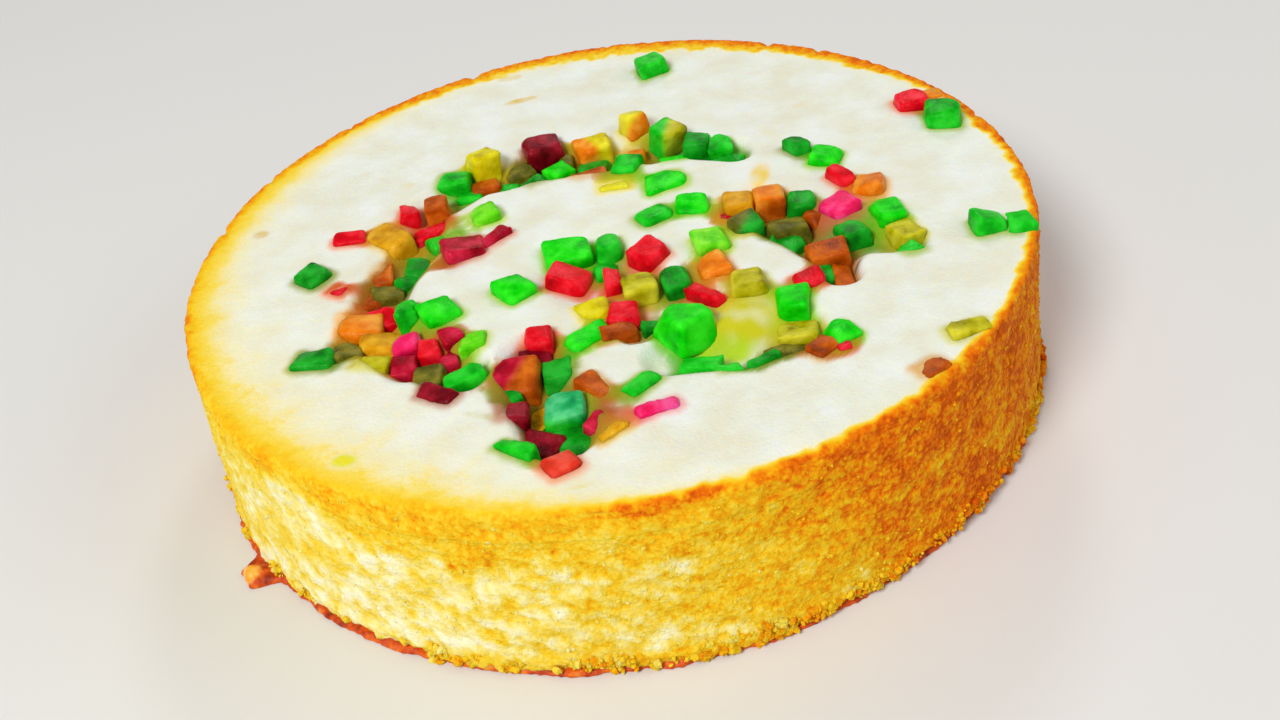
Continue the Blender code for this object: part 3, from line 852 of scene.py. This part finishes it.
# How baked the top is: a yellow fade in from the rim, widest at the left, and the rim's own golden band,
# which is widest at the far side.
left = share_round(angle, 218.0, 46.0)
front = share_round(angle, 250.0, 26.0)
back_left = share_round(angle, 155.0, 38.0)
back = share_round(angle, 80.0, 60.0)
mottle = noise_at(skin, 7.0, 26) + 0.6 * noise_at(skin, 2.6, 27) + 0.4 * noise_at(skin, 1.1, 28)
yellow_reach = 1.8 + 3.0 * left + 4.6 * back_left + 3.6 * back
faded = np.exp(-((np.clip(reach_in, 0.0, None) / yellow_reach) ** 1.5))
top_bake = (0.25 + 0.16 * back_left + 0.14 * back) * faded * np.clip(0.95 + 0.1 * mottle, 0.4, 1.25)
near_side = 1.4 * left + 0.1 * front + 0.45
top_bake += 0.14 * near_side * np.exp(-np.clip(reach_in, 0.0, None) / 20.0) * (1.0 + 0.2 * mottle)
warmed = (left + front) * smoothstep(45.0, 88.0, TOP_RADIUS - reach_in)
top_bake += np.clip(mottle - 0.1, 0.0, 1.0) * (0.03 + 0.03 * warmed)
corner_width = mixed(2.0, 1.3, np.clip(left + front, 0.0, 1.0)) - 0.3 * back_left + 5.4 * back
corner_width = corner_width + (1.0 + back) * (1.2 * noise_at(skin, 7.0, 29) + 0.9 * noise_at(skin, 2.2, 30))
at_corner = np.flatnonzero(reach_in < 12.0)
corner = np.zeros(len(skin))
corner[at_corner] = side_facts(angle[at_corner], skin[at_corner, 2], skin[at_corner])[0]
corner += (0.14 - 0.09 * np.clip(reach_in, 0.0, 6.0)) * share_round(angle, 90.0, 70.0)
top_bake = mixed(top_bake, corner, 1.0 - smoothstep(-1.3, 1.1, reach_in - corner_width))

# The first stretch of the wall, which tucks in behind the side at its foot, and the closed underside.
lid_count = int(LID_DEPTH / RIM_STEP)
lid_rows = []
for row in range(1, lid_count + 1):
    height = np.full(sectors, CAKE_HEIGHT - RIM_ROUNDING - RIM_STEP * row)
    lid_rows.append(wall_points(rim_angle, height, LID_TUCK * smoothstep(lid_count - 3.0, lid_count, row)))
points = np.concatenate([skin] + [row[0] for row in lid_rows])
wall_count = len(points) - len(skin)
order = np.concatenate([rim, np.arange(len(disc), len(disc) + (rim_rows + lid_count) * sectors)])
faces += order[np.array(ring_faces(rim_rows + lid_count + 1, sectors))].tolist()
faces.append(order[-sectors:][::-1].tolist())

top_mesh = bpy.data.meshes.new("cake_top")
top_mesh.from_pydata((points * MM).tolist(), [], faces)
add_fact(top_mesh, "bake", np.concatenate([np.clip(top_bake, 0.0, 1.0)] + [row[1] for row in lid_rows]))
add_fact(top_mesh, "wall", np.concatenate([onto_wall, np.ones(wall_count)]))
add_fact(top_mesh, "stain", np.concatenate([stain, np.ones((wall_count, 3))]))
add_fact(top_mesh, "stain_amount", np.concatenate([amount, np.zeros(wall_count)]))


# Semolina as the eye meets it: single grains, the lumps they bake into, and the pits between them.
SPECKLE_SIZE = 0.6
LUMP_SIZE = 1.2
PIT_SIZE = 0.8
FINE_SIZE = 0.4
BLOTCH_SIZE = 9.0
PATTERN_MIDDLE = 0.7


def baked_semolina(name, with_top):
    """Baked semolina: matt and grainy, pale where it tore, golden where it baked, brown where it toasted."""
    finish = {
        "Roughness": 0.7,
        "IOR": 1.4,
        "Specular IOR Level": 0.06,
        "Subsurface Weight": 0.4,
        "Subsurface Radius": (1.0, 0.7, 0.3),
        "Subsurface Scale": 1.4 * MM,
    }
    material, tree, surface = new_material(name, finish)
    place = add_node(tree, "ShaderNodeTexCoord").outputs["Object"]
    bake = add_node(tree, "ShaderNodeAttribute", {"attribute_name": "bake"}).outputs["Fac"]
    scale = per_mm(SPECKLE_SIZE)
    speckle = add_node(tree, "ShaderNodeTexNoise", None, {"Vector": place, "Scale": scale, "Detail": 3.0})
    scale = per_mm(LUMP_SIZE)
    lumps = add_node(tree, "ShaderNodeTexVoronoi", {"feature": "F1"}, {"Vector": place, "Scale": scale})
    # Colour deepens towards the edges of each lump and pales in its middle: grain colour, with painted shade
    # between lumps and painted light on their tops.
    pattern = add_node(
        tree,
        "ShaderNodeMath",
        {"operation": "MULTIPLY_ADD"},
        {0: lumps.outputs["Distance"], 1: 0.45, 2: speckle.outputs["Fac"]},
    )
    contrast = add_node(tree, "ShaderNodeMath", {"operation": "MULTIPLY_ADD"}, {0: bake, 1: 0.8, 2: 0.02})
    if with_top:
        wall = add_node(tree, "ShaderNodeAttribute", {"attribute_name": "wall"}).outputs["Fac"]
        calm = add_node(
            tree,
            "ShaderNodeMath",
            {"operation": "MULTIPLY_ADD", "use_clamp": True},
            {0: wall, 1: 1.5, 2: 0.35},
        )
        contrast = add_node(
            tree,
            "ShaderNodeMath",
            {"operation": "MULTIPLY"},
            {0: contrast.outputs[0], 1: calm.outputs[0]},
        )
    off_middle = add_node(
        tree, "ShaderNodeMath", {"operation": "SUBTRACT"}, {0: pattern.outputs[0], 1: PATTERN_MIDDLE}
    )
    uneven = add_node(
        tree,
        "ShaderNodeMath",
        {"operation": "MULTIPLY_ADD", "use_clamp": True},
        {0: off_middle.outputs[0], 1: contrast.outputs[0], 2: bake},
    )
    crumb = add_node(
        tree,
        "ShaderNodeValToRGB",
        {
            "stops": [
                (0.0, "#FBF3CC"),
                (0.14, "#F8E898"),
                (0.28, "#F4D858"),
                (0.42, "#F2C928"),
                (0.54, "#F0B414"),
                (0.66, "#EC9A0C"),
                (0.78, "#E87A08"),
                (0.89, "#DC6606"),
                (1.0, "#C45206"),
            ]
        },
        {"Fac": uneven.outputs[0]},
    )
    colour = crumb.outputs["Color"]
    if with_top:
        top_read = {
            fact: add_node(tree, "ShaderNodeAttribute", {"attribute_name": fact}).outputs
            for fact in ("stain", "stain_amount")
        }
        scale = per_mm(BLOTCH_SIZE)
        blotch = add_node(tree, "ShaderNodeTexNoise", None, {"Vector": place, "Scale": scale, "Detail": 4.0})
        cream = add_node(
            tree,
            "ShaderNodeValToRGB",
            {"stops": [(0.34, "#E2E0CA"), (0.52, "#E5E7D8"), (0.68, "#E9ECE4")]},
            {"Fac": blotch.outputs["Fac"]},
        )
        set_pale = add_node(
            tree,
            "ShaderNodeMapRange",
            {"interpolation_type": "SMOOTHSTEP"},
            {"Value": uneven.outputs[0], "From Min": 0.02, "From Max": 0.32},
        )
        batter = add_node(
            tree,
            "ShaderNodeMix",
            {"data_type": "RGBA"},
            {0: set_pale.outputs[0], 6: cream.outputs["Color"], 7: colour},
        )
        stained = add_node(
            tree,
            "ShaderNodeMix",
            {"data_type": "RGBA"},
            {0: top_read["stain_amount"]["Fac"], 6: batter.outputs[2], 7: top_read["stain"]["Color"]},
        )
        colour = add_node(
            tree,
            "ShaderNodeMix",
            {"data_type": "RGBA"},
            {0: wall, 6: stained.outputs[2], 7: colour},
        ).outputs[2]
    tree.links.new(colour, surface.inputs["Base Color"])
    scale = per_mm(PIT_SIZE)
    pits = add_node(tree, "ShaderNodeTexVoronoi", {"feature": "F1"}, {"Vector": place, "Scale": scale})
    scale = per_mm(FINE_SIZE)
    fine = add_node(tree, "ShaderNodeTexNoise", None, {"Vector": place, "Scale": scale, "Detail": 2.0})
    grain = add_node(
        tree,
        "ShaderNodeMath",
        {"operation": "SUBTRACT"},
        {0: fine.outputs["Fac"], 1: pits.outputs["Distance"]},
    )
    bump = add_node(
        tree,
        "ShaderNodeBump",
        None,
        {"Height": grain.outputs[0], "Strength": 0.3 if with_top else 0.8, "Distance": 0.25 * MM},
    )
    tree.links.new(bump.outputs["Normal"], surface.inputs["Normal"])
    return material


cake_top = place_piece("cake_top", top_mesh, baked_semolina("baked semolina top", True))
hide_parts("cake")


# Side of the cake.
# The wall tore as the cake left its tin: pale open crumb where the skin stayed behind, golden grainy skin
# where it held, toasted on the right. It reaches up behind the top's edge and down onto the base crust.

SIDE_SECTORS = 1152
SIDE_ROWS = 76
SIDE_FOOT = 0.9
SIDE_OVERLAP = 3.0
FOOT_FLARE = 1.0

# Where the foot of the wall broke away and shows a shaded gap: its middle and spread in degrees, its depth.
GAP_MIDDLE = 306.0
GAP_SPREAD = 17.0
GAP_DEPTH = 2.4


def closed_rings(rings, sectors):
    """Quads between rings of points, with a flat face over the first ring and one under the last."""
    last = (rings - 1) * sectors
    return ring_faces(rings, sectors) + [list(range(sectors)), list(range(last, last + sectors))[::-1]]


side_top = CAKE_HEIGHT - RIM_ROUNDING - LID_DEPTH + SIDE_OVERLAP
around = 2.0 * math.pi * np.arange(SIDE_SECTORS) / SIDE_SECTORS
side_rows = []
for height in np.linspace(side_top, SIDE_FOOT, SIDE_ROWS):
    wall = ring_points(TOP_RADIUS, around, height)
    crumbly = noise_at(wall, 3.4, 31) + 0.6 * noise_at(wall, 1.5, 32)
    gap = share_round(around, GAP_MIDDLE, GAP_SPREAD) * smoothstep(-0.5, 0.2, crumbly + 0.3)
    tuck = LID_TUCK * smoothstep(side_top - 1.6, side_top, height)
    tuck = tuck - FOOT_FLARE * (1.0 - smoothstep(1.2, 5.0, height)) * np.clip(0.5 + 0.9 * crumbly, -0.2, 1.4)
    tuck = tuck + (0.5 + GAP_DEPTH * gap) * (1.0 - smoothstep(1.6, 3.0 + 1.2 * crumbly, height))
    side_rows.append(wall_points(around, np.full(SIDE_SECTORS, height), tuck))
side_points = np.concatenate([row[0] for row in side_rows])
side_mesh = bpy.data.meshes.new("cake_side")
side_mesh.from_pydata((side_points * MM).tolist(), [], closed_rings(SIDE_ROWS, SIDE_SECTORS))
add_fact(side_mesh, "bake", np.concatenate([row[1] for row in side_rows]))
torn_crumb = baked_semolina("torn semolina crumb", False)
cake_side = place_piece("cake_side", side_mesh, torn_crumb)
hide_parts("cake")


# Base crust.
# The bottom of the batter fried brown in the greased tin. Its thin ragged edge shows under the crumbs at
# the foot of the wall, and one lump of it broke out to the left.

CRUST_RADIUS = 92.6
CRUST_INNER = 82.0
FLAKE_ANGLE = 211.4
FLAKE_LENGTH = 5.2
CRUST_SECTORS = 1440
FRECKLE_SIZE = 2.2
GRIT_SIZE = 0.6

# Lumps on the crust: angle, distance from the middle, half width, how much they stand up.
CRUST_LUMPS = [
    (211.5, 95.5, 2.5, 2.2),
    (223.2, 91.9, 1.7, 1.0),
    (238.5, 91.9, 1.3, 0.7),
    (248.0, 91.9, 2.0, 1.2),
    (258.7, 91.8, 1.5, 0.9),
    (271.0, 91.8, 1.2, 0.7),
]

# Across the crust's upper side out to the edge and round it: distance out from the edge, height.
CRUST_PROFILE = [
    (-4.8, 1.3),
    (-3.9, 1.4),
    (-3.2, 1.4),
    (-2.6, 1.4),
    (-1.9, 1.4),
    (-1.4, 1.35),
    (-1.0, 1.25),
    (-0.65, 1.1),
    (-0.35, 0.9),
    (-0.12, 0.65),
    (0.0, 0.35),
    (-0.1, 0.12),
    (-0.6, 0.0),
]


def crust_radius(angle):
    """Ragged outline of the base crust, full out on the four main directions."""
    notch = 0.5 * np.abs(np.sin(7.0 * angle)) + 0.45 * np.abs(np.sin(16.0 * angle))
    off_axis = smoothstep(0.0, 0.12, np.abs(np.sin(2.0 * angle)))
    radius = CRUST_RADIUS - notch * off_axis
    off_flake = np.abs(degrees_past(angle, FLAKE_ANGLE))
    return radius + FLAKE_LENGTH * (1.0 - smoothstep(1.3, 3.6, off_flake))


around = 2.0 * math.pi * np.arange(CRUST_SECTORS) / CRUST_SECTORS
edge = crust_radius(around)
circle = ring_points(edge, around, 0.0)
nibbles = 0.9 * np.abs(noise_at(circle, 5.0, 41)) + 0.6 * np.abs(noise_at(circle, 1.8, 40))
edge = edge - nibbles - 0.6 * share_round(around, 300.0, 60.0) - share_round(around, GAP_MIDDLE, GAP_SPREAD)
edge = np.maximum(edge, FOOT_RADIUS - 1.2)
crust_rows = [ring_points(CRUST_INNER, around, CRUST_PROFILE[0][1])]
lump_rows = [np.zeros(CRUST_SECTORS)]
for outward, height in CRUST_PROFILE:
    row = ring_points(edge + outward, around, height)
    lump = np.zeros(CRUST_SECTORS)
    for lump_angle, distance, half_width, rise in CRUST_LUMPS:
        turn = math.radians(lump_angle)
        off = np.hypot(row[:, 0] - distance * math.cos(turn), row[:, 1] - distance * math.sin(turn))
        lump += rise * np.exp(-((off / half_width) ** 2))
    grit = 0.3 * noise_at(row, 1.3, 42) + 0.35 * noise_at(row, 3.2, 43)
    row[:, 2] = np.clip(row[:, 2] * (0.8 + grit + lump / 1.4), 0.0, None)
    crust_rows.append(row)
    lump_rows.append(lump)
crust_rows.append(ring_points(CRUST_INNER, around, 0.0))
lump_rows.append(np.zeros(CRUST_SECTORS))
crust_mesh = bpy.data.meshes.new("base_crust")
crust_faces = closed_rings(len(crust_rows), CRUST_SECTORS)
crust_mesh.from_pydata((np.concatenate(crust_rows) * MM).tolist(), [], crust_faces)
add_fact(crust_mesh, "nugget", np.clip(2.4 * np.concatenate(lump_rows) - 2.0, 0.0, 1.0))

# Fried semolina crust: orange brown with darker freckles and golden lumps, a little greasy.
finish = {
    "Roughness": 0.5,
    "Specular IOR Level": 0.3,
    "Subsurface Weight": 0.2,
    "Subsurface Radius": (1.0, 0.5, 0.2),
    "Subsurface Scale": 1.0 * MM,
}
crust_material, tree, surface = new_material("fried semolina crust", finish)
place = add_node(tree, "ShaderNodeTexCoord").outputs["Object"]
scale = per_mm(FRECKLE_SIZE)
freckles = add_node(tree, "ShaderNodeTexNoise", None, {"Vector": place, "Scale": scale, "Detail": 4.0})
toasted = add_node(
    tree,
    "ShaderNodeValToRGB",
    {"stops": [(0.3, "#8A2602"), (0.46, "#C84604"), (0.6, "#DE6206"), (0.76, "#F08C18")]},
    {"Fac": freckles.outputs["Fac"]},
)
nugget = add_node(tree, "ShaderNodeAttribute", {"attribute_name": "nugget"}).outputs["Fac"]
golden = add_node(
    tree,
    "ShaderNodeValToRGB",
    {"stops": [(0.35, "#FA9418"), (0.5, "#FFB63C"), (0.64, "#FFE4A0")]},
    {"Fac": freckles.outputs["Fac"]},
)
lump_colour = add_node(
    tree,
    "ShaderNodeMix",
    {"data_type": "RGBA"},
    {0: nugget, 6: toasted.outputs["Color"], 7: golden.outputs["Color"]},
)
tree.links.new(lump_colour.outputs[2], surface.inputs["Base Color"])
scale = per_mm(GRIT_SIZE)
grit = add_node(tree, "ShaderNodeTexNoise", None, {"Vector": place, "Scale": scale, "Detail": 3.0})
bump = add_node(
    tree, "ShaderNodeBump", None, {"Height": grit.outputs["Fac"], "Strength": 0.8, "Distance": 0.3 * MM}
)
tree.links.new(bump.outputs["Normal"], surface.inputs["Normal"])
base_crust = place_piece("base_crust", crust_mesh, crust_material)
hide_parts("cake")


# Crumbs.
# Angular grains of semolina and sugar that stick to the torn wall, and crumbs that hang in ragged clusters
# over the base crust at its foot.

GRAIN_COUNT = 5400
CLUSTER_COUNT = 520
CRUMBS_EACH = 14
# The share of grains that are paler sugar; their paleness also paints in glints.
SUGAR_AND_GLINT_SHARE = 0.2
# The browned colour that foot crumbs turn towards, which also paints warm light into their shade.
BROWNED_AND_WARM_LIGHT = 0.66


def lumpy_grains(seats, outwards, sizes, seed):
    """Uneven grains, each pressed into its seat: points, faces and points a grain."""
    draw = np.random.RandomState(seed)
    ball = bmesh.new()
    bmesh.ops.create_icosphere(ball, subdivisions=1, radius=1.0)
    ball_points = np.array([vert.co[:] for vert in ball.verts])
    ball_faces = np.array([[vert.index for vert in face.verts] for face in ball.faces])
    ball.free()
    count = len(ball_points)
    all_points = []
    for seat, outward, size in zip(seats, outwards, sizes):
        shape = ball_points * draw.uniform(0.7, 1.3, (count, 1)) * draw.uniform(0.65, 1.25, 3) * size
        spin = Matrix.Rotation(draw.uniform(0.0, 6.28), 3, Vector(draw.uniform(-1.0, 1.0, 3)).normalized())
        sunk = outward * size * draw.uniform(-0.75, 0.1)
        all_points.append(shape @ np.array(spin) + seat + sunk)
    faces = np.concatenate([ball_faces + count * number for number in range(len(seats))])
    return np.concatenate(all_points), faces.tolist(), count


def place_crumbs(name, draw, angles, heights, sizes, standing_out, brown_and_warm_light, seed):
    """One piece of crumbs, seated on the wall at these angles and heights, coloured like it, or turned
    towards a browned colour that also paints warm light into their shade.
    """
    seats, bake = wall_points(angles, heights, np.zeros(len(angles)))
    outwards = ring_points(1.0, angles, 0.0)
    seats += outwards * standing_out[:, None]
    points, faces, per_grain = lumpy_grains(seats, outwards, sizes, seed)
    points[:, :2] *= np.minimum(1.0, (CRUST_RADIUS - 0.1) / np.hypot(points[:, 0], points[:, 1]))[:, None]
    points[:, 2] = np.clip(points[:, 2], 0.0, None)
    mesh = bpy.data.meshes.new(name)
    mesh.from_pydata((points * MM).tolist(), [], faces)
    # Crumbs turned towards the browned colour: browner crumbs, with painted warm light in their shade.
    bake = mixed(bake, BROWNED_AND_WARM_LIGHT, brown_and_warm_light) + draw.uniform(-0.13, 0.12, len(angles))
    # Some grains are paler sugar; their paleness also paints in the glints of grains that catch the light.
    sugar = draw.uniform(0.0, 1.0, len(angles)) < SUGAR_AND_GLINT_SHARE
    bake = np.clip(bake - 0.28 * sugar * bake, 0.02, 1.0)
    add_fact(mesh, "bake", np.repeat(bake, per_grain))
    crumbs = place_piece(name, mesh, torn_crumb)
    mesh.shade_flat()
    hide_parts("cake")


draw = np.random.RandomState(7)
place_crumbs(
    "wall_grains",
    draw,
    draw.uniform(0.0, 2.0 * math.pi, GRAIN_COUNT),
    draw.uniform(3.0, CAKE_HEIGHT - 1.5, GRAIN_COUNT),
    0.15 + 0.3 * draw.uniform(0.0, 1.0, GRAIN_COUNT) ** 2.0,
    np.zeros(GRAIN_COUNT),
    0.0,
    11,
)

# Each cluster: where it hangs, how low, and its crumbs scattered about its middle.
middles = draw.uniform(0.0, 2.0 * math.pi, CLUSTER_COUNT)
middles = middles[draw.uniform(0.0, 1.0, CLUSTER_COUNT) > 0.8 * share_round(middles, 226.0, 38.0)]
lows = 1.2 + 2.4 * draw.uniform(0.0, 1.0, len(middles)) ** 1.6
lows = lows + 1.3 * share_round(middles, GAP_MIDDLE, GAP_SPREAD)
spread = np.repeat(draw.uniform(0.4, 1.0, len(middles)), CRUMBS_EACH)
crumb_count = len(spread)
angles = np.repeat(middles, CRUMBS_EACH) + spread * draw.normal(0.0, 1.3, crumb_count) / TOP_RADIUS
heights = np.repeat(lows, CRUMBS_EACH) + spread * draw.normal(0.0, 0.8, crumb_count)
place_crumbs(
    "foot_crumbs",
    draw,
    angles,
    np.clip(heights, 0.4, None),
    0.26 + 0.75 * draw.uniform(0.0, 1.0, crumb_count) ** 2.4,
    draw.uniform(-0.5, 0.7, crumb_count) * FOOT_FLARE,
    # The foot crumbs turn partly browned: browner crumbs, and painted warm light in the shade under the wall.
    0.4,
    12,
)
